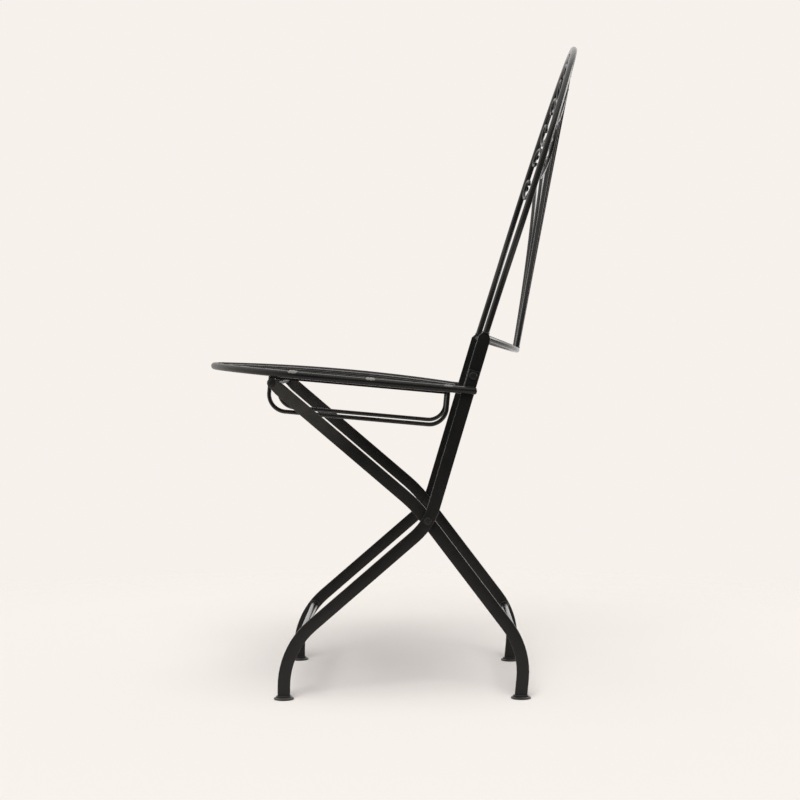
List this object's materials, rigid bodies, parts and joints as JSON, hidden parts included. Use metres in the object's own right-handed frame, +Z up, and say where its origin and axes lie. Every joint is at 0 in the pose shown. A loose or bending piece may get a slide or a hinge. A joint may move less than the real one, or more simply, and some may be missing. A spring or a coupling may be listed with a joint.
{
  "type": "folding garden chair",
  "caption": "Wrought-iron folding chair of bent flat bars and round rods, with a slatted oval-fronted seat that folds up against an arched scrollwork back.",
  "frame": {"origin": "floor level, under the middle of the open chair's bounding box", "axes": "+Z up, the sitter looks along -Y, X across the chair"},
  "size_m": [0.417, 0.5375, 0.9316],
  "materials": {
    "flat_bars": "satin black paint on hot-rolled flat bar",
    "round_rods": "satin black paint on round rod",
    "seat_strips": "satin black paint, a little rubbed on the seat",
    "rivets": "satin black paint over domed heads",
    "feet": "satin black paint, dusty at the floor",
    "slide_rod": "satin black paint, rubbed where it slides"
  },
  "bodies": {
    "back_frame": {"back_bottom_rail": "round_rods", "back_fan_centre_rod": "round_rods", "back_hoop": "round_rods", "front_stretcher": "round_rods", "left_back_scroll_1": "round_rods", "left_back_scroll_2": "round_rods", "left_back_scroll_3": "round_rods", "left_crossing_rivet": "rivets", "left_crossing_washer": "rivets", "left_fan_inner_rod": "round_rods", "left_fan_middle_rod": "round_rods", "left_fan_outer_rod": "round_rods", "left_front_foot": "feet", "left_seat_hinge_rivet": "rivets", "left_upright_bar": "flat_bars", "right_back_scroll_1": "round_rods", "right_back_scroll_2": "round_rods", "right_back_scroll_3": "round_rods", "right_crossing_rivet": "rivets", "right_crossing_washer": "rivets", "right_fan_inner_rod": "round_rods", "right_fan_middle_rod": "round_rods", "right_fan_outer_rod": "round_rods", "right_front_foot": "feet", "right_seat_hinge_rivet": "rivets", "right_upright_bar": "flat_bars"},
    "rear_legs": {"left_rear_foot": "feet", "left_rear_leg_bar": "flat_bars", "left_slide_rod_rivet": "rivets", "rear_stretcher": "round_rods", "right_rear_foot": "feet", "right_rear_leg_bar": "flat_bars", "right_slide_rod_rivet": "rivets"},
    "seat": {"front_cross_bar": "seat_strips", "left_seat_hinge_lug": "flat_bars", "left_slide_guide": "round_rods", "left_slide_runner": "flat_bars", "middle_cross_bar": "seat_strips", "rear_cross_bar": "seat_strips", "right_seat_hinge_lug": "flat_bars", "right_slide_guide": "round_rods", "right_slide_runner": "flat_bars", "seat_rim": "round_rods", "seat_slat_01": "seat_strips", "seat_slat_02": "seat_strips", "seat_slat_03": "seat_strips", "seat_slat_04": "seat_strips", "seat_slat_05": "seat_strips", "seat_slat_06": "seat_strips", "seat_slat_07": "seat_strips", "seat_slat_08": "seat_strips", "seat_slat_09": "seat_strips", "seat_slat_10": "seat_strips", "seat_slat_11": "seat_strips"},
    "slide_rod": {"slide_rod": "slide_rod"}
  },
  "joints": [
    {"name": "seat_fold", "type": "hinge", "parent": "back_frame", "child": "seat", "pos_m": [0, 0.11507, 0.44989], "axis": [-1, 0, 0], "range_deg": [0, 101.51]},
    {"name": "rear_leg_fold", "type": "hinge", "parent": "back_frame", "child": "rear_legs", "pos_m": [0, 0.052, 0.248], "axis": [-1, 0, 0], "range_deg": [0, 56.76]},
    {"name": "rod_slide", "type": "slide", "parent": "seat", "child": "slide_rod", "axis": [0, 0.9904, -0.1385], "range_m": [0, 0.2035]}
  ],
  "couplings": [
    {"joint": "rear_leg_fold", "follows": "seat_fold", "ratio": 0.55899},
    {"joint": "rod_slide", "follows": "seat_fold", "m_per_rad": 0.11473}
  ]
}
